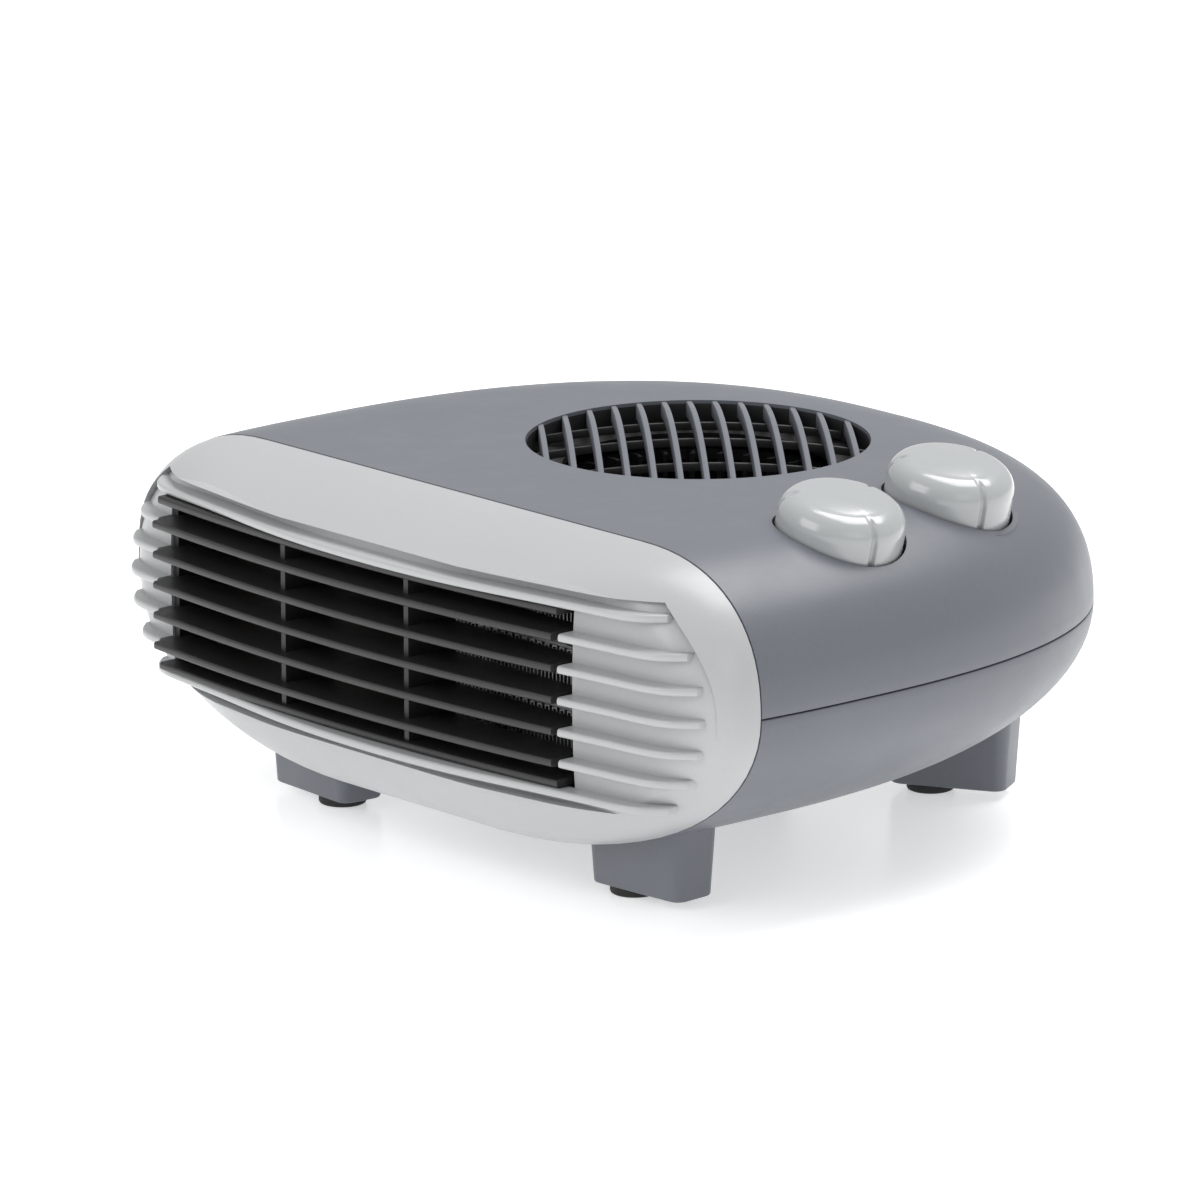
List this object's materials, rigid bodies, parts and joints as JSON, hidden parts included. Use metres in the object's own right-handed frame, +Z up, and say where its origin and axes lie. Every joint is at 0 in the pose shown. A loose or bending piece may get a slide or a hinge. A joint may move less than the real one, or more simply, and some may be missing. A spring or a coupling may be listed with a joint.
{
  "type": "ceramic space heater",
  "caption": "Low D-shaped fan heater: slatted front outlet, round intake grille in the roof, rotary knobs on one shoulder, short feet with rubber pads.",
  "frame": {"origin": "middle of the overall box, on the surface that the rubber pads stand on", "axes": "+X towards the knob side, -Y out of the warm-air outlet, +Z up"},
  "size_m": [0.2501, 0.2146, 0.111],
  "materials": {
    "casing": "satin moulded slate-grey plastic",
    "bezel": "light grey satin-gloss moulded plastic",
    "grille": "black heat-resistant moulded plastic",
    "rubber": "matt black rubber",
    "knob": "light grey gloss moulded plastic",
    "phenolic": "dark brown phenolic moulding",
    "white_nylon": "natural white nylon",
    "zinc_steel": "zinc-plated pressed steel",
    "fan_plastic": "black glass-filled nylon",
    "steel": "ground steel",
    "lamination": "oiled silicon-steel laminations",
    "coil_tape": "varnished yellow winding tape",
    "bronze": "sintered bronze",
    "duct_plastic": "black flame-retardant plastic",
    "fin_aluminium": "bare corrugated aluminium foil",
    "ceramic": "grey-brown barium titanate ceramic",
    "screw": "blackened steel"
  },
  "bodies": {
    "casing": {"upper_casing": "casing", "lower_casing": "casing", "front_bezel": "bezel", "outlet_grille": "grille", "foot_pad_front_left": "rubber", "foot_pad_front_right": "rubber", "foot_pad_rear_left": "rubber", "foot_pad_rear_right": "rubber", "thermostat_body": "phenolic", "selector_switch": "phenolic", "thermostat_nut": "zinc_steel", "selector_nut": "zinc_steel", "motor_laminations": "lamination", "motor_coil": "coil_tape", "motor_bracket_lower": "zinc_steel", "motor_bracket_upper": "zinc_steel", "motor_bearing_lower": "bronze", "motor_bearing_upper": "bronze", "motor_spacers": "zinc_steel", "scroll_housing": "duct_plastic", "scroll_cover": "duct_plastic", "heater_fins_lower": "fin_aluminium", "heater_fins_middle": "fin_aluminium", "heater_fins_upper": "fin_aluminium", "ceramic_stones": "ceramic", "electrode_strips": "steel", "element_holder_left": "phenolic", "element_holder_right": "phenolic", "thermal_cutout": "zinc_steel", "thermal_fuse": "zinc_steel", "fuse_clip": "white_nylon", "terminal_block": "white_nylon", "cord_clamp": "white_nylon", "cord_gland": "rubber", "casing_screws": "screw", "scroll_screws": "screw", "motor_screws": "screw", "clamp_screws": "screw"},
    "thermostat_control": {"thermostat_knob": "knob", "thermostat_spindle": "white_nylon"},
    "selector_control": {"selector_knob": "knob", "selector_spindle": "white_nylon"},
    "fan": {"fan_wheel": "fan_plastic", "motor_shaft": "steel", "motor_rotor": "steel"}
  },
  "joints": [
    {"name": "thermostat_turn", "type": "hinge", "parent": "casing", "child": "thermostat_control", "pos_m": [0.0945, -0.02055, 0.0962], "axis": [0.2419, 0, 0.9703], "range_deg": [-270, 0]},
    {"name": "selector_turn", "type": "hinge", "parent": "casing", "child": "selector_control", "pos_m": [0.0865, 0.02595, 0.0972], "axis": [0.2164, 0, 0.9763], "range_deg": [-135, 0]},
    {"name": "fan_spin", "type": "hinge", "parent": "casing", "child": "fan", "pos_m": [0, 0.01395, 0.058], "axis": [0, 0, 1], "continuous": true}
  ]
}
